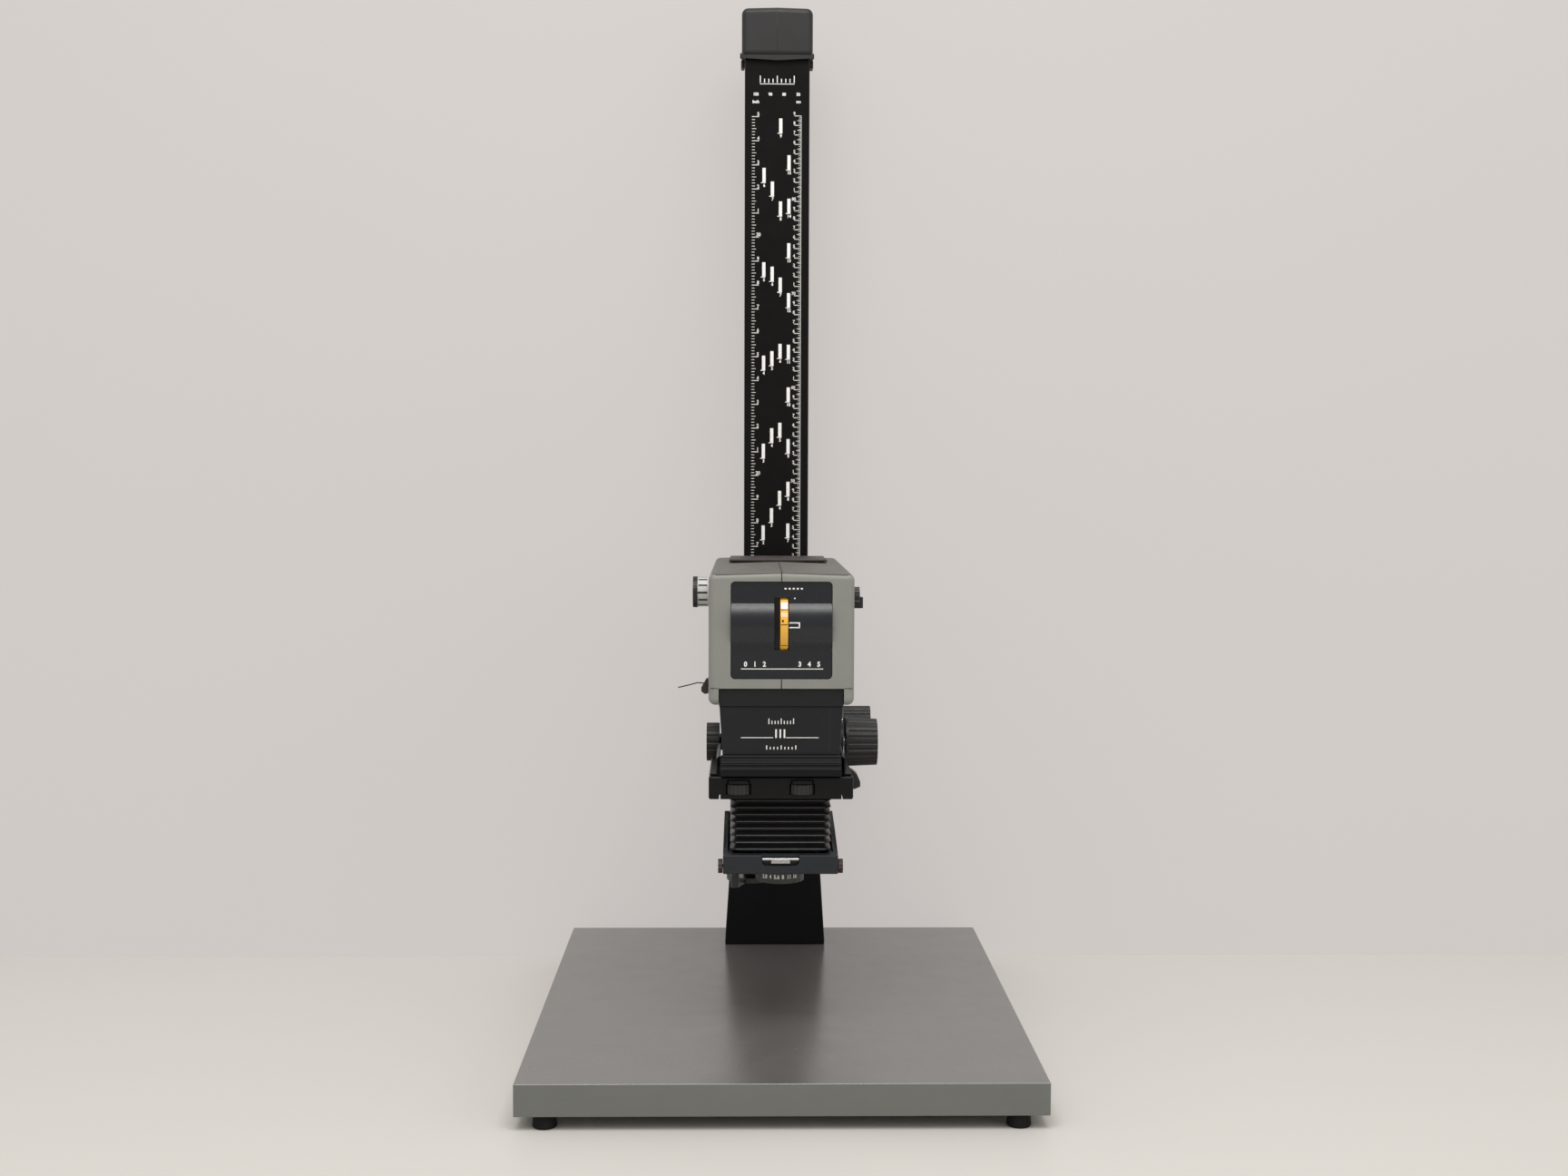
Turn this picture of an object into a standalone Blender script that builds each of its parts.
"""Photographic enlarger: baseboard, column, counterbalanced carriage and head.

Frame: metres, +Z up, front towards -Y, origin under the middle of the baseboard
on the surface the four feet stand on.
"""
import math

import bmesh
import bpy
from mathutils import Matrix, Vector

MM = 0.001

# ---------------------------------------------------------------- driving dimensions (mm)
GAP = 0.3                      # clearance kept between neighbouring pieces

BOARD_W, BOARD_D, BOARD_T = 450.0, 550.0, 28.0
FEET_H, FEET_R, FEET_IN, FEET_IN_Y = 12.0, 10.5, 25.0, 12.5
TOP = FEET_H + BOARD_T         # working surface of the baseboard

COL_W, COL_D, COL_WALL = 69.0, 40.0, 3.0
COL_F = 207.5                  # front face of the column
COL_B = COL_F + COL_D
COL_TOP = 988.6
COL_SLOT = 14.0
COL_MID = COL_F + COL_D / 2

FOOT_TOP = 165.0
FOOT_W0, FOOT_W1 = 108.0, 92.0

CAP_Z0, CAP_Z1, CAP_W = 991.5, 1042.5, 75.4

CAR_Z0, CAR_Z1, CAR_W = 250.0, 386.0, 112.0
SWIVEL_Z = 318.0
DRIVE_Y, DRIVE_Z, DRIVE_R = COL_B + GAP + 10.0, 276.0, 10.0
ROLLER_R = 8.0
ROLLER_X = COL_W / 2 + GAP + ROLLER_R
ROLLER_ZS = (262.0, 346.0)
DRUM_Y, DRUM_Z, DRUM_R = 225.0, 1010.0, 14.0

AXIS_Y = -88.0                 # optical axis, parallel to Z
FOCUS_Y, FOCUS_Z = 1.4, 289.0  # focusing shaft, parallel to X
MODULE, PINION_N = 1.5, 10     # focusing rack and pinion

STAGE_Z0, STAGE_Z1, STAGE_W = 258.0, 278.6, 129.6
STAGE_F, STAGE_B = -150.0, -22.3

HOUSE_W, HOUSE_F, HOUSE_B = 130.0, -153.0, 184.0
HOUSE_Z0, HOUSE_Z1, HOUSE_RIDGE = 358.0, 460.5, 2.0
SKIRT = 15.0
WALL = 3.0

WHEEL_X, WHEEL_Y, WHEEL_Z, WHEEL_R = 2.3, -132.3, 415.5, 28.4
DIAL_Y, DIAL_Z = -113.0, 442.0
KNOB_Y, KNOB_Z = -113.0, 437.0
CLIP_Y, CLIP_Z = -133.0, 361.0
BAR_Y, BAR_Z = -134.2, 194.8   # lens clamp bar

LENS_Z0, LENS_Z1 = 188.7, 206.0
PARK_X, PARK_Y = -41.5, -80.0  # pivot of the swing-in filter
MASK_XS = (-38.0, 19.0)
MASK_Y = -143.0

# ---------------------------------------------------------------- scene set-up
for old in list(bpy.data.objects):
    bpy.data.objects.remove(old, do_unlink=True)

PARTS = bpy.data.collections.new("photographic_enlarger")
CUTTERS = bpy.data.collections.new("enlarger_cutters")
bpy.context.scene.collection.children.link(PARTS)
bpy.context.scene.collection.children.link(CUTTERS)

COLOURS = {
    "laminate": ((0.33, 0.31, 0.29), 0.35, 0.0),
    "rubber": ((0.02, 0.02, 0.02), 0.8, 0.0),
    "cast_black": ((0.016, 0.016, 0.017), 0.55, 0.0),
    "column_black": ((0.011, 0.011, 0.012), 0.45, 0.2),
    "cap_grey": ((0.07, 0.07, 0.072), 0.5, 0.0),
    "spring_steel": ((0.45, 0.46, 0.48), 0.3, 1.0),
    "shaft_steel": ((0.5, 0.5, 0.5), 0.25, 1.0),
    "nylon": ((0.55, 0.53, 0.48), 0.5, 0.0),
    "knob_black": ((0.018, 0.018, 0.019), 0.5, 0.0),
    "dark_plastic": ((0.03, 0.032, 0.038), 0.45, 0.0),
    "panel_blue_grey": ((0.035, 0.043, 0.052), 0.4, 0.0),
    "shell_grey": ((0.29, 0.295, 0.26), 0.55, 0.0),
    "vent_brown": ((0.05, 0.04, 0.035), 0.5, 0.0),
    "orange": ((0.6, 0.31, 0.04), 0.4, 0.0),
    "dial_white": ((0.6, 0.6, 0.6), 0.45, 0.0),
    "bright_metal": ((0.65, 0.65, 0.66), 0.2, 1.0),
    "glass": ((0.8, 0.85, 0.85), 0.05, 0.0),
    "opal": ((0.85, 0.85, 0.82), 0.4, 0.0),
    "white_foam": ((0.8, 0.8, 0.78), 0.7, 0.0),
    "red_glass": ((0.5, 0.01, 0.01), 0.1, 0.0),
    "bellows": ((0.012, 0.012, 0.013), 0.7, 0.0),
    "lens_black": ((0.015, 0.015, 0.015), 0.35, 0.3),
    "ring_grey": ((0.12, 0.12, 0.115), 0.4, 0.6),
    "ceramic": ((0.75, 0.73, 0.68), 0.6, 0.0),
    "mirror": ((0.85, 0.85, 0.86), 0.05, 1.0),
}


def colour(key):
    """A Principled material of its own for each piece."""
    rgb, rough, metal = COLOURS[key]
    mat = bpy.data.materials.new(key)
    mat.use_nodes = True
    bsdf = mat.node_tree.nodes["Principled BSDF"]
    bsdf.inputs["Base Color"].default_value = (*rgb, 1.0)
    bsdf.inputs["Roughness"].default_value = rough
    bsdf.inputs["Metallic"].default_value = metal
    mat.diffuse_color = (*rgb, 1.0)
    return mat


def as_object(name, bm, smooth=False):
    mesh = bpy.data.meshes.new(name)
    bm.to_mesh(mesh)
    bm.free()
    if smooth:
        mesh.shade_smooth()
        mesh.set_sharp_from_angle(angle=math.radians(35))
    obj = bpy.data.objects.new(name, mesh)
    CUTTERS.objects.link(obj)
    return obj


# ---------------------------------------------------------------- shapes, in mm
def box(name, x0, x1, y0, y1, z0, z1, bevel=0.0, seg=1):
    bm = bmesh.new()
    bmesh.ops.create_cube(bm, size=1.0)
    for v in bm.verts:
        v.co = Vector(((x0 if v.co.x < 0 else x1) * MM,
                       (y0 if v.co.y < 0 else y1) * MM,
                       (z0 if v.co.z < 0 else z1) * MM))
    obj = as_object(name, bm)
    if bevel:
        rounded(obj, bevel, seg)
    return obj


def rounded(obj, width, seg=1, angle=40):
    mod = obj.modifiers.new("edge_round", "BEVEL")
    mod.width = width * MM
    mod.segments = seg
    mod.limit_method = "ANGLE"
    mod.angle_limit = math.radians(angle)
    return obj


TURN = {
    "Z": Matrix.Identity(4),
    "X": Matrix(((0, 0, 1, 0), (1, 0, 0, 0), (0, 1, 0, 0), (0, 0, 0, 1))),
    "Y": Matrix(((0, 1, 0, 0), (0, 0, 1, 0), (1, 0, 0, 0), (0, 0, 0, 1))),
}


def at(axis, a, b):
    """Point on the plane across an axis: X takes (y, z), Y takes (x, z), Z takes (x, y)."""
    return {"X": (0, a, b), "Y": (a, 0, b), "Z": (a, b, 0)}[axis]


def cyl(name, axis, a, b, r, t0, t1, n=24, r1=None, bevel=0.0):
    """A cylinder or cone along an axis from t0 to t1."""
    bm = bmesh.new()
    bmesh.ops.create_cone(bm, cap_ends=True, segments=n, radius1=r * MM,
                          radius2=(r if r1 is None else r1) * MM, depth=(t1 - t0) * MM)
    bmesh.ops.translate(bm, verts=bm.verts, vec=(0, 0, (t0 + t1) / 2 * MM))
    bm.transform(Matrix.Translation(Vector(at(axis, a, b)) * MM) @ TURN[axis])
    obj = as_object(name, bm, smooth=True)
    if bevel:
        rounded(obj, bevel)
    return obj


def turned(name, axis, a, b, profile, n=24):
    """A solid of revolution: (radius, position along the axis), from the high end down."""
    bm = bmesh.new()
    last = None
    for r, t in profile:
        v = bm.verts.new((r * MM, 0, t * MM))
        if last is not None:
            bm.edges.new((last, v))
        last = v
    if profile[0][0] > 0 and profile[-1][0] > 0:
        bm.verts.ensure_lookup_table()
        bm.edges.new((bm.verts[-1], bm.verts[0]))
    obj = as_object(name, bm)
    mod = obj.modifiers.new("turn", "SCREW")
    mod.axis = "Z"
    mod.angle = math.radians(360)
    mod.steps = mod.render_steps = n
    mod.use_merge_vertices = True
    mod.merge_threshold = 0.00001
    mod.use_normal_calculate = False
    obj.matrix_world = Matrix.Translation(Vector(at(axis, a, b)) * MM) @ TURN[axis]
    obj = baked(obj)
    return obj


def baked(obj):
    """The evaluated shape of an object as a plain welded mesh at the origin."""
    bpy.context.view_layer.update()
    graph = bpy.context.evaluated_depsgraph_get()
    mesh = bpy.data.meshes.new_from_object(obj.evaluated_get(graph))
    mesh.transform(obj.matrix_world)
    bm = bmesh.new()
    bm.from_mesh(mesh)
    bmesh.ops.remove_doubles(bm, verts=bm.verts, dist=0.000002)
    bmesh.ops.recalc_face_normals(bm, faces=bm.faces)
    name = obj.name
    bpy.data.meshes.remove(mesh)
    bpy.data.objects.remove(obj, do_unlink=True)
    return as_object(name, bm, smooth=True)


def prism(name, axis, outlines, t0, t1):
    """A flat outline, with holes as further loops, pushed along an axis from t0 to t1."""
    if not isinstance(outlines[0][0], (tuple, list)):
        outlines = [outlines]
    curve = bpy.data.curves.new(name, "CURVE")
    curve.dimensions = "2D"
    curve.fill_mode = "BOTH"
    curve.extrude = (t1 - t0) / 2 * MM
    for pts in outlines:
        sp = curve.splines.new("POLY")
        sp.points.add(len(pts) - 1)
        for p, (a, b) in zip(sp.points, pts):
            u, v = (b, a) if axis == "Y" else (a, b)
            p.co = (u * MM, v * MM, 0, 1)
        sp.use_cyclic_u = True
    obj = bpy.data.objects.new(name, curve)
    CUTTERS.objects.link(obj)
    mid = {"X": ((t0 + t1) / 2, 0, 0), "Y": (0, (t0 + t1) / 2, 0), "Z": (0, 0, (t0 + t1) / 2)}[axis]
    obj.matrix_world = Matrix.Translation(Vector(mid) * MM) @ TURN[axis]
    obj = baked(obj)
    return obj


def wire(name, pts, r):
    curve = bpy.data.curves.new(name, "CURVE")
    curve.dimensions = "3D"
    curve.bevel_depth = r * MM
    curve.bevel_resolution = 1
    curve.use_fill_caps = True
    sp = curve.splines.new("POLY")
    sp.points.add(len(pts) - 1)
    for p, q in zip(sp.points, pts):
        p.co = (q[0] * MM, q[1] * MM, q[2] * MM, 1)
    obj = bpy.data.objects.new(name, curve)
    CUTTERS.objects.link(obj)
    return baked(obj)


def tool(obj, other, operation):
    other.name = f"tool_{obj.name}_{len(obj.modifiers)}"
    other.hide_render = True
    other.display_type = "WIRE"
    mod = obj.modifiers.new(operation.lower(), "BOOLEAN")
    mod.operation = operation
    mod.solver = "EXACT"
    mod.object = other
    return obj


def cut(obj, *others):
    for other in others:
        tool(obj, other, "DIFFERENCE")
    return obj


def join(obj, *others):
    for other in others:
        tool(obj, other, "UNION")
    return obj


def keep(obj, other):
    return tool(obj, other, "INTERSECT")


def ring_points(r, n, phase=0.0, cx=0.0, cy=0.0):
    return [(cx + r * math.cos(phase + 2 * math.pi * i / n),
             cy + r * math.sin(phase + 2 * math.pi * i / n)) for i in range(n)]


def round_rect(x0, x1, y0, y1, r, n=3):
    """Rounded rectangle as a list of points, anticlockwise."""
    pts = []
    for cx, cy, a0 in ((x1 - r, y0 + r, -90), (x1 - r, y1 - r, 0), (x0 + r, y1 - r, 90), (x0 + r, y0 + r, 180)):
        for i in range(n + 1):
            a = math.radians(a0 + 90 * i / n)
            pts.append((cx + r * math.cos(a), cy + r * math.sin(a)))
    return pts


def ribbed(r, depth, count, cx, cy, land=0.55):
    """Outline of a fluted knob: flat lands with shallow grooves between them."""
    pts = []
    step = 2 * math.pi / count
    for i in range(count):
        a = i * step
        for f, rr in ((0.0, r), (land, r), (land + 0.12, r - depth), (0.88, r - depth)):
            pts.append((cx + rr * math.cos(a + f * step), cy + rr * math.sin(a + f * step)))
    return pts


# ---------------------------------------------------------------- bodies and their axes
EMPTIES = {}


def body(name, x, y, z, parent=None):
    e = bpy.data.objects.new(f"axis_{name}", None)
    e.empty_display_size = 0.02
    PARTS.objects.link(e)
    if parent:
        e.parent = EMPTIES[parent][0]
        px, py, pz = EMPTIES[parent][1]
        e.location = ((x - px) * MM, (y - py) * MM, (z - pz) * MM)
    else:
        e.location = (x * MM, y * MM, z * MM)
    EMPTIES[name] = (e, (x, y, z))
    return e


def part(obj, owner, key):
    """Finish a piece: name, collection, material and origin on its body's axis."""
    name = obj.name
    e, org = EMPTIES[owner]
    shift = Vector(org) * MM
    obj.data.transform(Matrix.Translation(-shift))
    CUTTERS.objects.unlink(obj)
    PARTS.objects.link(obj)
    obj.parent = e
    obj.location = (0, 0, 0)
    obj.data.materials.clear()
    obj.data.materials.append(colour(key))
    obj.name = name
    return obj


body("stand", 0, 0, 0)
body("carriage", 0, COL_MID, SWIVEL_Z, "stand")
body("height_drive", 0, DRIVE_Y, DRIVE_Z, "carriage")
body("counterbalance_drum", 0, DRUM_Y, DRUM_Z, "stand")
body("brake", -50, COL_MID, 372.0, "carriage")
body("head", 0, 187.0, SWIVEL_Z, "carriage")
body("lamp_head", 0, AXIS_Y, HOUSE_Z0, "head")
body("mixing_box", 0, AXIS_Y, 318.0, "lamp_head")
body("negative_carrier", 0, AXIS_Y, 284.0, "head")
body("filter_wheel", WHEEL_X, WHEEL_Y, WHEEL_Z, "lamp_head")
body("filter_slide", 0, -8.0, 404.0, "lamp_head")
body("density_dial", -72.0, DIAL_Y, DIAL_Z, "lamp_head")
body("white_light_knob", 70.0, KNOB_Y, KNOB_Z, "lamp_head")
body("side_clip", -68.0, CLIP_Y, CLIP_Z - 2.0, "lamp_head")
body("focus_drive", 0, FOCUS_Y, FOCUS_Z, "head")
body("lift_lever", 60.0, FOCUS_Y, FOCUS_Z, "head")
body("lens_stage", 0, AXIS_Y, LENS_Z0, "head")
body("lens_clip", 0, -140.0, 202.0, "lens_stage")
body("lens_clamp", 0, BAR_Y, BAR_Z, "lens_stage")
body("aperture_ring", 0, AXIS_Y, 177.5, "lens_stage")
body("red_filter", PARK_X, PARK_Y, 176.0, "lens_stage")

# ---------------------------------------------------------------- stand
HW, HD = BOARD_W / 2, BOARD_D / 2
part(box("baseboard", -HW, HW, -HD, HD, FEET_H, TOP, bevel=0.8), "stand", "laminate")
for side, sx in (("left", -1), ("right", 1)):
    for end, sy in (("front", -1), ("rear", 1)):
        part(turned(f"foot_{end}_{side}", "Z", sx * (HW - FEET_IN), sy * (HD - FEET_IN_Y),
                    [(0, FEET_H - GAP), (9.6, FEET_H - GAP), (FEET_R, 1.6), (9.4, 0), (0, 0)], n=16),
             "stand", "rubber")

foot = box("column_foot", -1, 1, 196.5, 268.0, TOP + GAP, FOOT_TOP)
for v in foot.data.vertices:
    low = v.co.z < 0.1
    v.co.x = math.copysign((FOOT_W0 if low else FOOT_W1) / 2 * MM, v.co.x)
    if v.co.y > 0.2 and not low:
        v.co.y = 0.258
rounded(foot, 2.0, 2)
cut(foot, box("c", -COL_W / 2 - 0.4, COL_W / 2 + 0.4, COL_F - 0.4, COL_B + 0.4, TOP - 5, FOOT_TOP + 5))
part(foot, "stand", "cast_black")

w, s, t = COL_W / 2, COL_SLOT / 2, COL_WALL
corner = 2.4
section = [(s, COL_B), (w - corner, COL_B), (w - 0.7, COL_B - 0.7), (w, COL_B - corner),
           (w, COL_F + corner), (w - 0.7, COL_F + 0.7), (w - corner, COL_F),
           (-w + corner, COL_F), (-w + 0.7, COL_F + 0.7), (-w, COL_F + corner),
           (-w, COL_B - corner), (-w + 0.7, COL_B - 0.7), (-w + corner, COL_B), (-s, COL_B),
           (-s, COL_B - t), (-w + t, COL_B - t), (-w + t, COL_F + t), (w - t, COL_F + t),
           (w - t, COL_B - t), (s, COL_B - t)]
part(prism("column_tube", "Z", section, TOP + GAP, COL_TOP), "stand", "column_black")

cap = box("column_cap", -CAP_W / 2, CAP_W / 2, 203.5, 255.0, CAP_Z0, CAP_Z1)
bm = bmesh.new()
bm.from_mesh(cap.data)
bmesh.ops.bisect_plane(bm, geom=bm.verts[:] + bm.edges[:] + bm.faces[:], plane_co=(0, 0, 0), plane_no=(1, 0, 0))
for v in bm.verts:
    if abs(v.co.x) < 1e-6:
        if v.co.y < 0.21:
            v.co.y -= 1.2 * MM
        if v.co.z > 1.0:
            v.co.z += 0.8 * MM
bm.to_mesh(cap.data)
bm.free()
rounded(cap, 6.5, 2, angle=50)
join(cap, prism("c", "Y", [(-38.0, 993.2), (-38.0, 989.6), (0, 987.4), (38.0, 989.6), (38.0, 993.2)], 202.9, 255.4))
cut(cap, box("c", -33.8, 33.8, 207.0, 251.5, 980.0, 1036.0),
    box("c", -34.9, 34.9, 207.1, COL_B + 0.4, 980.0, 988.9))
for sx in (-1, 1):
    x0, x1 = sorted((sx * 34.9, sx * 38.6))
    join(cap, box("c", x0, x1, 221.5, 237.5, 983.2, 991.0, bevel=0.8))
    join(cap, cyl("c", "X", COL_MID, 996.8, 3.0, *sorted((sx * 35.5, sx * 39.7)), n=14, bevel=0.8))
part(cap, "stand", "cap_grey")

drum = turned("counterbalance_drum", "X", DRUM_Y, DRUM_Z,
              [(0, 33.4), (3, 33.4), (3, 10), (17, 10), (17, 8), (DRUM_R, 8), (DRUM_R, -8),
               (17, -8), (17, -10), (3, -10), (3, -33.4), (0, -33.4)], n=16)
part(drum, "counterbalance_drum", "spring_steel")
TAPE_Y = DRUM_Y + DRUM_R + 0.4
part(box("counterbalance_tape", -6.5, 6.5, TAPE_Y, TAPE_Y + 0.6, 384.3, DRUM_Z), "stand", "spring_steel")

# ---------------------------------------------------------------- carriage
car = box("carriage_frame", -CAR_W / 2, CAR_W / 2, 190.0, 272.6, CAR_Z0, CAR_Z1, bevel=3.0, seg=2)
join(car, cyl("c", "Y", 0, SWIVEL_Z, 36.0, 187.3, 192.0, n=24),
     cyl("c", "X", DRIVE_Y, DRIVE_Z, 12.0, 54.0, 70.0, n=20))
cut(car, box("c", -52, 52, 204.5, 268.6, CAR_Z0 - 5, CAR_Z1 + 5),
    cyl("c", "X", DRIVE_Y, DRIVE_Z, 4.4, -70, 80, n=20),
    cyl("c", "Y", 0, SWIVEL_Z, 6.3, 180, 200.5, n=20),
    cyl("c", "X", COL_MID, 372.0, 4.3, -60, -45, n=16))
join(car, box("c", -5, 5, 236.0, 270.0, 376.0, 384.0))
part(car, "carriage", "cast_black")

for i, (zn, z) in enumerate(zip(("lower", "upper"), ROLLER_ZS)):
    for side, sx in (("left", -1), ("right", 1)):
        name = f"guide_roller_{zn}_{side}"
        body(name, sx * ROLLER_X, COL_MID, z, "carriage")
        part(turned(name, "Y", sx * ROLLER_X, z,
                    [(0, 268.3), (2.5, 268.3), (2.5, 235), (7.4, 235), (ROLLER_R, 234.2), (ROLLER_R, 220.8),
                     (7.4, 220), (2.5, 220), (2.5, 204.8), (0, 204.8)], n=12), name, "nylon")

part(turned("height_shaft", "X", DRIVE_Y, DRIVE_Z,
            [(0, 92), (4, 92), (4, 20), (DRIVE_R, 20), (DRIVE_R, 9), (4, 9), (4, -9), (DRIVE_R, -9),
             (DRIVE_R, -20), (4, -20), (4, -60), (0, -60)], n=14), "height_drive", "shaft_steel")
knob = prism("height_knob", "X", ribbed(17.0, 0.9, 14, DRIVE_Y, DRIVE_Z), 75.8, 105.6)
cut(knob, cyl("c", "X", DRIVE_Y, DRIVE_Z, 4.3, 70, 92.3, n=20))
part(knob, "height_drive", "knob_black")

brake = prism("brake_knob", "X", ribbed(11.0, 0.9, 10, COL_MID, 372.0), -70.0, -56.4)
join(brake, cyl("c", "X", COL_MID, 372.0, 4.0, -58, -35.1, n=16))
part(brake, "brake", "knob_black")

part(turned("swivel_bolt", "Y", 0, SWIVEL_Z,
            [(0, 199.5), (6, 199.5), (6, 169.7), (11, 169.7), (11, 164.5), (9.5, 163), (0, 163)], n=14),
     "carriage", "shaft_steel")

# ---------------------------------------------------------------- head chassis
ch = box("head_chassis", -50, 50, -22, 176, 262, 352, bevel=2.0, seg=2)
cut(ch, box("c", -46, 46, -16, 170, 267, 360))
join(ch, cyl("c", "Y", 0, SWIVEL_Z, 36.0, 170.0, 187.0, n=24),
     cyl("c", "X", FOCUS_Y, FOCUS_Z, 10.0, 47, 58.7, n=20),
     cyl("c", "X", FOCUS_Y, FOCUS_Z, 8.0, -56.9, -47, n=20),
     box("c", 22.4, 28, -17, -5.5, 263, 330), box("c", -28, -22.4, -17, -5.5, 263, 330))
cut(ch, cyl("c", "Y", 0, SWIVEL_Z, 6.3, 160, 190, n=20),
    cyl("c", "X", FOCUS_Y, FOCUS_Z, 4.3, -60, 65, n=20),
    box("c", -22.4, 22.4, -15.6, -3.5, 255, 270))
part(ch, "head", "cast_black")

# negative stage with two pockets for the masking wheels
st = box("negative_stage", -STAGE_W / 2, STAGE_W / 2, STAGE_F, STAGE_B, STAGE_Z0, STAGE_Z1, bevel=2.0, seg=2)
cut(st, box("c", -40, 40, AXIS_Y - 40, AXIS_Y + 40, 250, 290),
    box("c", -61, 61, AXIS_Y - 44, AXIS_Y + 44, 266.0, 271.6),
    box("c", 54.2, 55.6, STAGE_F - 5, STAGE_B + 5, 250, 262.3),
    box("c", -55.6, -54.2, STAGE_F - 5, STAGE_B + 5, 250, 262.3))
for mx in MASK_XS:
    cut(st, cyl("c", "Z", mx, MASK_Y, 12.6, 262.4, 272.2, n=24),
        box("c", mx - 11.4, mx + 11.4, STAGE_F - 3, STAGE_F + 3, 262.4, 272.2))
    join(st, prism("c", "Z", [(mx - 11.2, STAGE_F + 2), (mx - 8.6, STAGE_F - 4.2), (mx + 8.6, STAGE_F - 4.2),
                              (mx + 11.2, STAGE_F + 2)], 272.4, 275.4))
part(st, "head", "dark_plastic")

for side, mx, sx in (("left", MASK_XS[0], 1), ("right", MASK_XS[1], -1)):
    body(f"masking_wheel_{side}", mx, MASK_Y, 267.0, "head")
    part(prism(f"masking_wheel_{side}", "Z", ribbed(11.6, 0.7, 16, mx, MASK_Y), 262.8, 271.4),
         f"masking_wheel_{side}", "knob_black")
    body(f"masking_blade_{side}", -sx * 48.0, AXIS_Y, 268.8, "head")
    x0, x1 = sorted((-sx * 60.0, -sx * 40.3))
    part(box(f"masking_blade_{side}", x0, x1, AXIS_Y - 43, AXIS_Y + 43, 268.2, 269.4),
         f"masking_blade_{side}", "bright_metal")
    # bent sheet guide that leads the film strip into the carrier
    a = -sx
    g = [(a * 56.7, 279.0), (a * 63.6, 279.0), (a * 63.6, 280.4), (a * 58.1, 280.4), (a * 58.1, 294.2),
         (a * 55.2, 296.4), (a * 54.4, 295.4), (a * 56.7, 293.4)]
    part(prism(f"film_guide_{side}", "Y", g, -144.0, -60.0), "head", "knob_black")

# ---------------------------------------------------------------- negative carrier
ap_x, ap_y = 35.0, 28.0
for name, z0, z1 in (("carrier_lower_frame", 279.0, 283.8), ("carrier_upper_frame", 284.2, 289.2)):
    fr = box(name, -51.5, 51.5, -140.6, -34.0, z0, z1, bevel=0.8)
    cut(fr, box("c", -ap_x, ap_x, AXIS_Y - ap_y, AXIS_Y + ap_y, z0 - 5, z1 + 5))
    part(fr, "negative_carrier", "cast_black")
h = [(-141.0, 279.4), (-156.4, 279.4), (-157.6, 280.6), (-157.6, 286.6), (-155.4, 288.2), (-155.4, 289.6),
     (-156.6, 290.3), (-155.2, 291.2), (-156.0, 292.0), (-154.6, 292.9), (-155.2, 293.7), (-153.4, 294.6),
     (-152.8, 297.6), (-151.4, 298.4), (-150.2, 298.0), (-150.2, 289.0), (-141.0, 289.0)]
part(prism("negative_carrier_handle", "X", h, -53.7, 53.7), "negative_carrier", "dark_plastic")

# ---------------------------------------------------------------- mixing housing under the lamphouse
mh = box("mixing_housing", -55.2, 55.2, -149.6, -30.0, 289.6, 342.0)
for v in mh.data.vertices:
    if v.co.z < 0.3:
        v.co.x = math.copysign(51.8 * MM, v.co.x)
rounded(mh, 1.2)
join(mh, box("c", -55.6, 55.6, -151.0, -29.0, 341.6, 357.7, bevel=1.0))
cut(mh, box("c", -45.8, 45.8, -160, -34.0, 298.8, 339.4),
    box("c", -33, 33, AXIS_Y - 33, AXIS_Y + 33, 330, 365),
    box("c", -38, 38, AXIS_Y - 38, AXIS_Y + 38, 285, 300))
part(mh, "lamp_head", "dark_plastic")

mb = box("mixing_box", -45.4, 45.4, -149.6, -38.0, 299.2, 339.0, bevel=0.8)
cut(mb, box("c", -36, 36, AXIS_Y - 36, AXIS_Y + 36, 290, 345))
part(mb, "mixing_box", "dark_plastic")
part(box("diffuser_plate", -35.6, 35.6, AXIS_Y - 35.6, AXIS_Y + 35.6, 300.4, 303.4), "mixing_box", "opal")

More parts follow.
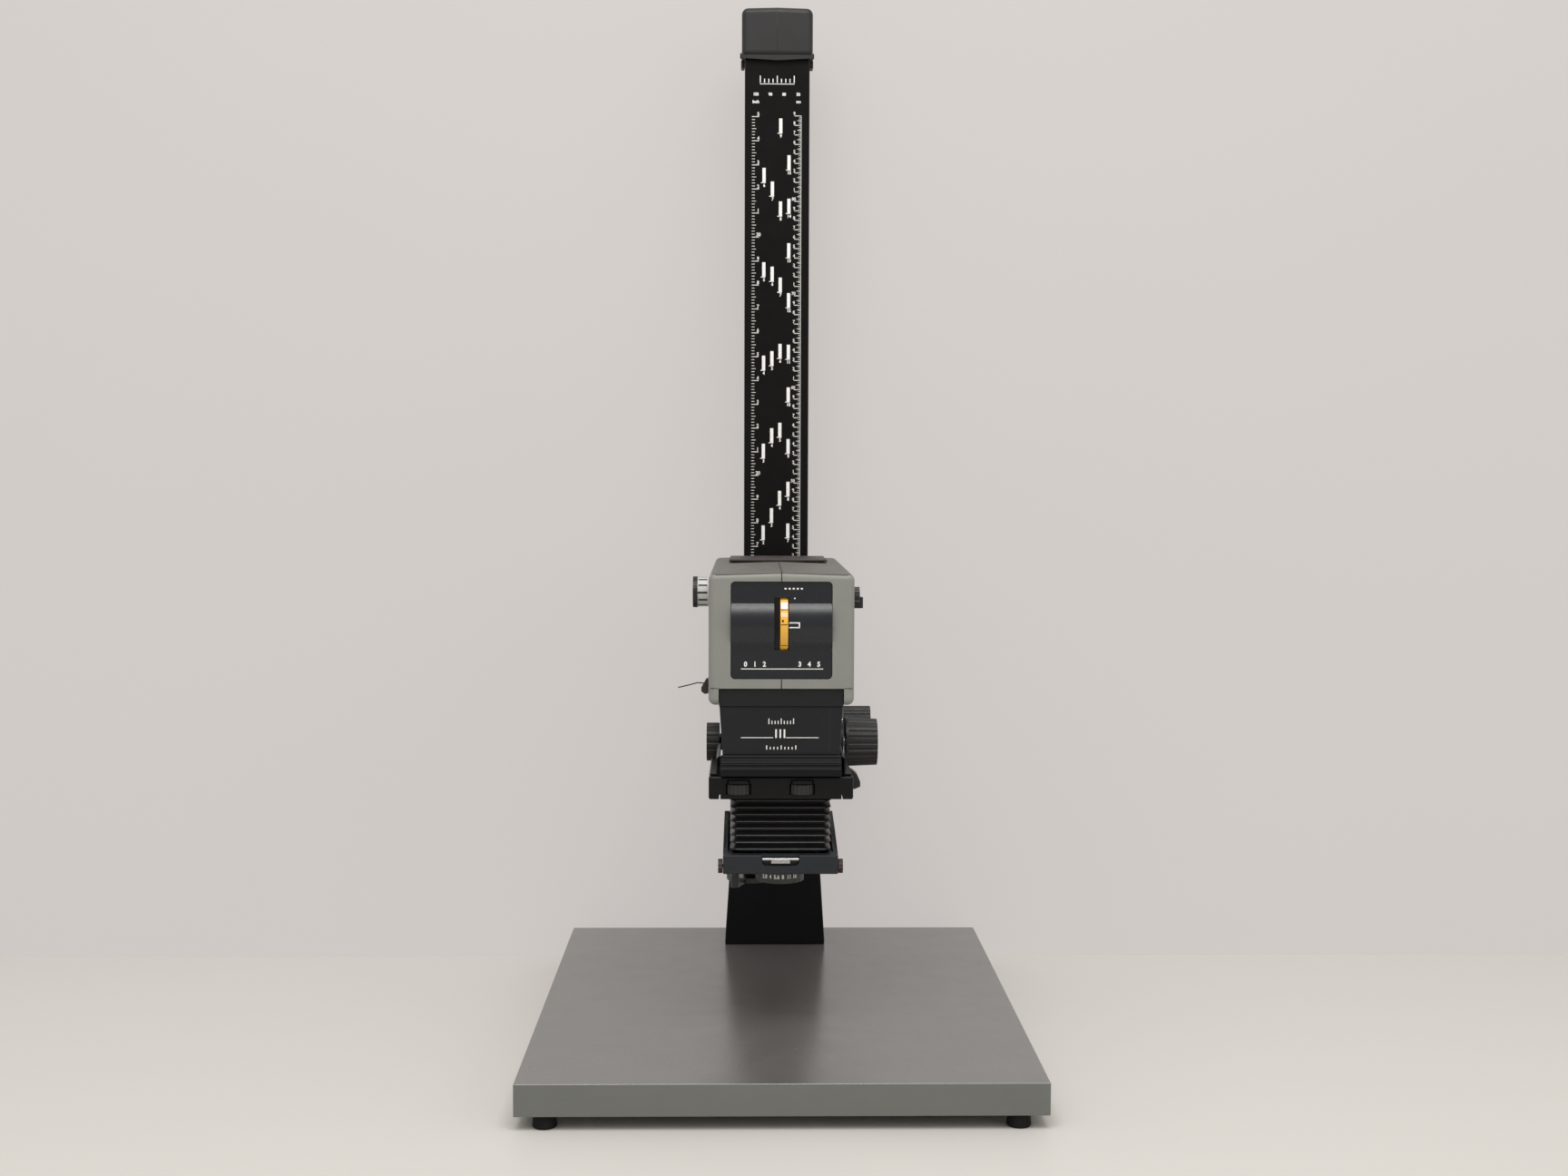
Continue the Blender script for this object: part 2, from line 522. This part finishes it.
# ---------------------------------------------------------------- lamphouse shells
def shell_half(name, sx):
    shell = box(name, -HOUSE_W / 2, HOUSE_W / 2, HOUSE_F, HOUSE_B, HOUSE_Z0 - SKIRT, HOUSE_Z1)
    bm2 = bmesh.new()
    bm2.from_mesh(shell.data)
    bmesh.ops.bisect_plane(bm2, geom=bm2.verts[:] + bm2.edges[:] + bm2.faces[:],
                           plane_co=(0, 0, 0), plane_no=(1, 0, 0))
    for vv in bm2.verts:
        if abs(vv.co.x) < 1e-6 and vv.co.z > 0.45:
            vv.co.z += HOUSE_RIDGE * MM
    bm2.to_mesh(shell.data)
    bm2.free()
    rounded(shell, 6.0, 3, angle=40)
    hx = HOUSE_W / 2
    cut(shell,
        box("c", -55.9, 55.9, HOUSE_F - 5, HOUSE_B + 5, HOUSE_Z0 - SKIRT - 5, HOUSE_Z0),
        box("c", -hx - 5, hx + 5, -20.0, HOUSE_B + 5, HOUSE_Z0 - SKIRT - 5, HOUSE_Z0),
        box("c", -hx + WALL, hx - WALL, HOUSE_F + WALL, HOUSE_B + 5, HOUSE_Z0 + WALL, HOUSE_Z1 - WALL, bevel=4, seg=2),
        prism("c", "Y", round_rect(-45.3, 45.3, 366.4, 453.6, 4.0), HOUSE_F - 5, HOUSE_F + 8),
        box("c", -32, 32, -122.0, -50.0, HOUSE_Z0 - 5, HOUSE_Z0 + 8),
        box("c", -40, 40, 52.0, 122.0, HOUSE_Z1 - 8, HOUSE_Z1 + 8))
    cut(shell, box("c", *sorted((sx * 0.25, -sx * 100)), -200, 250, 300, 500))
    if sx < 0:
        cut(shell, cyl("c", "X", DIAL_Y, DIAL_Z, 3.3, -70, -58, n=12),
            cyl("c", "X", CLIP_Y, CLIP_Z - 2.0, 1.8, -70, -60, n=10))
    else:
        cut(shell, cyl("c", "X", KNOB_Y, KNOB_Z, 3.3, 58, 70, n=12))
    return shell


part(shell_half("lamphouse_shell_left", -1), "lamp_head", "shell_grey")
part(shell_half("lamphouse_shell_right", 1), "lamp_head", "shell_grey")

# control panel: flat plate with a convex barrel across it and a slot for the wheel
PY, PT = HOUSE_F + 1.5, 3.0
bz0, bz1, sag = 397.0, 434.0, 7.5
br = ((bz1 - bz0) ** 2 / 4 + sag ** 2) / (2 * sag)
bc = PY - sag + br
bzc = (bz0 + bz1) / 2
half = math.asin((bz1 - bz0) / 2 / br)


def barrel(radius, n=12):
    h2 = math.asin(min(0.999, (bz1 - bz0) / 2 / br)) if radius == br else math.acos((bc - PY - PT) / radius)
    return [(bc - radius * math.cos(a), bzc + radius * math.sin(a))
            for a in [h2 - 2 * h2 * i / n for i in range(n + 1)]]


profile = ([(PY, 453.2)] + barrel(br) + [(PY, 366.8), (PY + PT, 366.8)] +
           list(reversed(barrel(br - PT))) + [(PY + PT, 453.2)])
cp = prism("control_panel", "X", profile, -45.0, 45.0)
cut(cp, box("c", -6.4, 6.4, -170, -140, 391.8, 439.2))
keep(cp, prism("c", "Y", round_rect(-45.0, 45.0, 366.8, 453.2, 3.7), -175, -140))
part(cp, "lamp_head", "panel_blue_grey")

part(turned("filter_wheel", "X", WHEEL_Y, WHEEL_Z,
            [(0, WHEEL_X + 8.5), (3, WHEEL_X + 8.5), (3, WHEEL_X + 3.5), (WHEEL_R - 0.4, WHEEL_X + 3.5), (WHEEL_R, WHEEL_X + 3.1),
             (WHEEL_R, WHEEL_X - 3.1), (WHEEL_R - 0.4, WHEEL_X - 3.5), (3, WHEEL_X - 3.5), (3, WHEEL_X - 13.5), (0, WHEEL_X - 13.5)],
            n=32), "filter_wheel", "orange")

# vent cover with louvre slots
vc = box("vent_cover", -48, 48, 44, 130, HOUSE_Z1 + HOUSE_RIDGE + GAP, HOUSE_Z1 + HOUSE_RIDGE + 2.4, bevel=0.6)
for i in range(3):
    y = 62 + 20 * i
    cut(vc, prism("c", "Z", round_rect(-38, -8, y, y + 6, 2.0, 1), 455, 470),
        prism("c", "Z", round_rect(8, 38, y, y + 6, 2.0, 1), 455, 470))
cut(vc, prism("c", "Z", round_rect(-39.5, -33, 48.5, 52.0, 1.0, 1), 455, 470),
    prism("c", "Z", round_rect(33, 39.5, 48.5, 52.0, 1.0, 1), 455, 470))
part(vc, "lamp_head", "vent_brown")

# rear cover with a power inlet
rc = prism("lamphouse_rear_cover", "Y", round_rect(-61.6, 61.6, 361.4, 457.1, 4.6), 180.0, 183.6)
join(rc, box("c", -16, 16, 168.0, 181.0, 372.0, 396.0))
cut(rc, prism("c", "Y", round_rect(-13, 13, 375.0, 393.0, 3.0), 171.0, 190.0))
for i in range(4):
    cut(rc, prism("c", "Y", round_rect(-42, 42, 412 + 9 * i, 416 + 9 * i, 1.5, 1), 175, 190))
part(rc, "lamp_head", "shell_grey")

# light source
part(turned("lamp", "Y", 0, 400.0,
            [(0, 108), (6, 108), (6, 96), (14, 90), (24, 66), (25, 62), (25, 60), (23.4, 60), (22.4, 64), (13, 86), (0, 90)], n=16),
     "lamp_head", "glass")
sk = box("lamp_socket", -14, 14, 108.4, 126.0, 386, 414, bevel=1.5)
join(sk, box("c", -30, 30, 120.0, 124.0, 361.4, 390.0))
part(sk, "lamp_head", "ceramic")
mirror = prism("deflector_mirror", "X", [(-120, 366.0), (-46, 440.0), (-48.2, 442.2), (-122.2, 368.2)], -34, 34)
part(mirror, "lamp_head", "mirror")
fs = box("filter_slide", -31, 31, -9.5, -6.5, 370, 438, bevel=0.5)
cut(fs, box("c", -27, -2, -15, 0, 376, 432), box("c", 2, 27, -15, 0, 376, 432))
part(fs, "filter_slide", "bright_metal")

# side controls on the lamphouse
dial = turned("density_dial", "X", DIAL_Y, DIAL_Z,
              [(0, -60.5), (3, -60.5), (3, -65.4), (13.1, -65.4), (13.1, -75.6), (0, -75.6)], n=24)
join(dial, prism("c", "X", ribbed(13.7, 0.6, 18, DIAL_Y, DIAL_Z), -79.8, -75.4))
part(dial, "density_dial", "dial_white")
wk = prism("white_light_knob", "X", ribbed(9.8, 0.8, 11, KNOB_Y, KNOB_Z), 65.4, 71.4)
join(wk, box("c", 71.0, 74.6, KNOB_Y - 3.2, KNOB_Y + 3.2, KNOB_Z - 9.6, KNOB_Z + 0.6, bevel=0.6),
     cyl("c", "X", KNOB_Y, KNOB_Z, 3.0, 60.5, 66.0, n=12))
part(wk, "white_light_knob", "knob_black")
cl = prism("side_clip", "Y", [(-65.4, 352.0), (-68.6, 351.4), (-71.6, 353.6), (-71.8, 357.0), (-69.2, 361.4), (-67.4, 364.8),
                              (-65.4, 365.6)], CLIP_Y - 4, CLIP_Y + 4)
join(cl, cyl("c", "X", CLIP_Y, CLIP_Z - 2.0, 1.5, -67, -60.5, n=10))
join(cl, wire("c", [(-67.4, CLIP_Y, 360.6), (-75, CLIP_Y - 1, 361.4), (-82, CLIP_Y - 2, 359.6), (-92.5, CLIP_Y - 3, 357.2)], 0.55))
part(cl, "side_clip", "knob_black")

# ---------------------------------------------------------------- lift lever, coaxial with the focusing shaft
lv = cyl("lift_lever", "X", FOCUS_Y, FOCUS_Z, 19.0, 59.0, 62.6, n=32)
a40 = math.radians(40)
fin = box("c", 59.0, 62.6, FOCUS_Y - 4, FOCUS_Y + 4, FOCUS_Z + 5, FOCUS_Z + 73, bevel=1.0)
fin.data.transform(Matrix.Translation(Vector((0, FOCUS_Y, FOCUS_Z)) * MM) @ Matrix.Rotation(-a40, 4, "X")
                   @ Matrix.Translation(Vector((0, -FOCUS_Y, -FOCUS_Z)) * MM))
join(lv, fin, prism("c", "Y", [(59.0, 284.0), (62.6, 284.0), (62.6, 270.0), (65.2, 264.2), (72.0, 261.8), (76.4, 258.0), (79.6, 250.6),
                               (79.6, 246.0), (74.0, 243.6), (71.0, 244.0), (70.4, 250.0), (67.6, 256.0), (62.6, 260.6),
                               (59.0, 266.0)], -6.0, 8.0))
cut(lv, cyl("c", "X", FOCUS_Y, FOCUS_Z, 4.4, 50, 70, n=20))
part(lv, "lift_lever", "knob_black")

# ---------------------------------------------------------------- focusing drive
PITCH_R = MODULE * PINION_N / 2
TOOTH = math.pi * MODULE


def pinion_outline(n=PINION_N, m=MODULE, backlash=0.30):
    """Twenty-degree involute teeth, thinned by the backlash."""
    alpha = math.radians(20)
    rb = PITCH_R * math.cos(alpha)
    ro, rr = PITCH_R + m * 0.95, PITCH_R - 1.22 * m
    inv = math.tan(alpha) - alpha
    half_t = (math.pi * m / 2 - backlash) / 2 / PITCH_R
    flank = []
    for k in range(5):
        r = max(rb, rr) + (ro - max(rb, rr)) * k / 4
        ph = math.acos(min(1.0, rb / r))
        flank.append((r, half_t + inv - (math.tan(ph) - ph)))
    pts = []
    for i in range(n):
        c = 2 * math.pi * i / n + math.pi       # one tooth points at the rack
        pts.append((rr, c - flank[0][1]))
        pts += [(r, c - a) for r, a in flank]
        pts += [(r, c + a) for r, a in reversed(flank)]
        pts.append((rr, c + flank[0][1]))
    return [(FOCUS_Y + r * math.cos(a), FOCUS_Z + r * math.sin(a)) for r, a in pts]


sh = prism("focus_shaft", "X", pinion_outline(), -7.0, 7.0)
join(sh, cyl("c", "X", FOCUS_Y, FOCUS_Z, 4.0, -66.0, 92.0, n=20))
part(sh, "focus_drive", "shaft_steel")
kr = prism("focus_knob_right", "X", ribbed(23.6, 1.0, 24, FOCUS_Y, FOCUS_Z), 66.6, 95.6)
for v in kr.data.vertices:                       # the knob narrows towards its outer end
    if v.co.x > 0.09:
        v.co.y = FOCUS_Y * MM + (v.co.y - FOCUS_Y * MM) * 0.95
        v.co.z = FOCUS_Z * MM + (v.co.z - FOCUS_Z * MM) * 0.95
join(kr, cyl("c", "X", FOCUS_Y, FOCUS_Z, 24.1, 65.0, 67.4, n=36))
cut(kr, cyl("c", "X", FOCUS_Y, FOCUS_Z, 4.3, 60, 92.4, n=20))
part(kr, "focus_drive", "knob_black")
kl = prism("focus_knob_left", "X", ribbed(18.5, 0.9, 18, FOCUS_Y, FOCUS_Z), -69.6, -57.3)
cut(kl, cyl("c", "X", FOCUS_Y, FOCUS_Z, 4.3, -66.4, -50, n=20))
part(kl, "focus_drive", "knob_black")

# ---------------------------------------------------------------- lens stage
ls = box("lens_stage", -52, 52, -142, -20, LENS_Z0, LENS_Z1, bevel=1.2)
RACK_Y = FOCUS_Y - PITCH_R - 1.25 * MODULE      # root of the rack teeth
join(ls, box("c", -52, 52, -21, -14.5, LENS_Z0, 224.0, bevel=1.0),
     box("c", -22, 22, -14.6, RACK_Y, LENS_Z0 + 1, 328.0))
for sx in (-1, 1):
    x0, x1 = sorted((sx * 47.8, sx * 52.0))
    join(ls, prism("c", "X", [(-134, 200), (-134, 205.5), (-70, 217.5), (-15, 224.0), (-15, 200)], x0, x1))


def rack_outline(z_low, teeth, backlash=0.30):
    """Straight-sided rack whose tooth spaces face the pinion at rest."""
    pts = [(RACK_Y - 1.0, z_low)]
    ta = math.tan(math.radians(20))
    add, ded = 0.95 * MODULE, 1.25 * MODULE
    half_p = (TOOTH / 2 - backlash) / 2
    pts.append((RACK_Y, z_low))
    for i in range(teeth):
        zc = z_low + TOOTH * (i + 0.5)
        pts += [(RACK_Y, zc - half_p - ded * ta), (RACK_Y + ded + add, zc - half_p + add * ta),
                (RACK_Y + ded + add, zc + half_p - add * ta), (RACK_Y, zc + half_p + ded * ta)]
    pts += [(RACK_Y, z_low + TOOTH * teeth), (RACK_Y - 1.0, z_low + TOOTH * teeth)]
    return pts


below = 7                                        # whole pitches below the shaft
z_low = FOCUS_Z - TOOTH * below
join(ls, prism("c", "X", rack_outline(z_low, below + 8), -5.0, 5.0))
cut(ls, box("c", -43.0, 43.0, AXIS_Y - 43, AXIS_Y + 43, 191.6, 215.0),
    box("c", -38.0, 38.0, AXIS_Y - 38, AXIS_Y + 38, 180.0, 200.0),
    prism("c", "Y", round_rect(-17.2, 17.2, 196.4, 209.5, 4.5), -150.0, -136.8),
    cyl("c", "X", BAR_Y, BAR_Z, 2.4, -60, 60, n=16))
part(ls, "lens_stage", "dark_plastic")

lb = box("lens_board", -42.6, 42.6, AXIS_Y - 42.6, AXIS_Y + 42.6, 191.9, 194.9)
cut(lb, cyl("c", "Z", 0, AXIS_Y, 19.9, 185, 200, n=32))
part(lb, "lens_stage", "bright_metal")

lc = cyl("lens_clip", "X", -140.0, 202.0, 1.3, -16.4, 16.4, n=10)
join(lc, box("c", -8.6, 8.6, -143.4, -139.6, 198.6, 202.6, bevel=0.5))
part(lc, "lens_clip", "bright_metal")

bar = cyl("lens_clamp_bar", "X", BAR_Y, BAR_Z, 2.0, -53, 53, n=14)
for sx in (-1, 1):
    x0, x1 = sorted((sx * 52.4, sx * 56.4))
    join(bar, prism("c", "X", ribbed(6.4, 0.5, 10, BAR_Y, BAR_Z), x0, x1))
part(bar, "lens_clamp", "knob_black")

part(turned("lens_barrel", "Z", 0, AXIS_Y,
            [(19.5, 199.0), (19.5, 191.5), (23.0, 191.5), (23.0, 183.2), (18.9, 183.2), (18.9, 173.2), (15.6, 172.6),
             (14.0, 174.4), (14.0, 199.0)], n=24), "lens_stage", "lens_black")
ar = prism("aperture_ring", "Z", [ribbed(22.3, 0.5, 20, 0, AXIS_Y, 0.6), ring_points(19.3, 28, cx=0, cy=AXIS_Y)], 173.0, 182.8)
part(ar, "aperture_ring", "ring_grey")
part(turned("lens_glass", "Z", 0, AXIS_Y,
            [(0, 180.0), (7, 179.6), (13.6, 178.4), (13.6, 177.4), (7, 175.9), (0, 175.4)], n=20), "lens_stage", "glass")

# swing-in filter, parked behind and to the left of the lens
reach = math.hypot(PARK_X, AXIS_Y - PARK_Y)
pang = math.acos((-26.0 - PARK_X) / reach)
FX, FY = PARK_X + reach * math.cos(pang), PARK_Y + reach * math.sin(pang)
rf = cyl("red_filter_holder", "Z", FX, FY, 23.6, 163.6, 167.8, n=28)
arm = box("c", 3, reach - 20, -3, 3, 163.6, 167.8)
arm.data.transform(Matrix.Translation(Vector((PARK_X, PARK_Y, 0)) * MM) @ Matrix.Rotation(pang, 4, "Z"))
join(rf, arm, cyl("c", "Z", PARK_X, PARK_Y, 4.0, 163.6, LENS_Z0 - GAP, n=20))
cut(rf, cyl("c", "Z", FX, FY, 19.6, 150, 165.0, n=28), cyl("c", "Z", FX, FY, 21.2, 164.9, 180, n=28))
part(rf, "red_filter", "knob_black")
part(cyl("red_filter_glass", "Z", FX, FY, 20.9, 165.3, 167.2, n=32), "red_filter", "red_glass")

# ---------------------------------------------------------------- bellows
def bellows(name, z0, z1, pleats, big, small, chamfer, thick):
    """Pleated square tube: rings of eight points, wide and narrow in turn."""
    def ring(bm3, hw, z):
        c = chamfer
        return [bm3.verts.new((x * MM, (AXIS_Y + y) * MM, z * MM)) for x, y in
                ((hw, -hw + c), (hw, hw - c), (hw - c, hw), (-hw + c, hw),
                 (-hw, hw - c), (-hw, -hw + c), (-hw + c, -hw), (hw - c, -hw))]
    bm3 = bmesh.new()
    levels = 2 * pleats
    outer, inner = [], []
    for i in range(levels + 1):
        z = z0 + (z1 - z0) * i / levels
        hw = big if i % 2 else small
        outer.append(ring(bm3, hw, z))
        inner.append(ring(bm3, hw - thick, z))
    for i in range(levels):
        for k in range(8):
            j = (k + 1) % 8
            bm3.faces.new((outer[i][k], outer[i][j], outer[i + 1][j], outer[i + 1][k]))
            bm3.faces.new((inner[i][j], inner[i][k], inner[i + 1][k], inner[i + 1][j]))
    for k in range(8):
        j = (k + 1) % 8
        bm3.faces.new((outer[0][j], outer[0][k], inner[0][k], inner[0][j]))
        bm3.faces.new((outer[-1][k], outer[-1][j], inner[-1][j], inner[-1][k]))
    bmesh.ops.recalc_face_normals(bm3, faces=bm3.faces)
    return as_object(name, bm3)


part(bellows("bellows", 206.6, 257.4, 8, 46.0, 41.0, 5.0, 1.2), "head", "bellows")
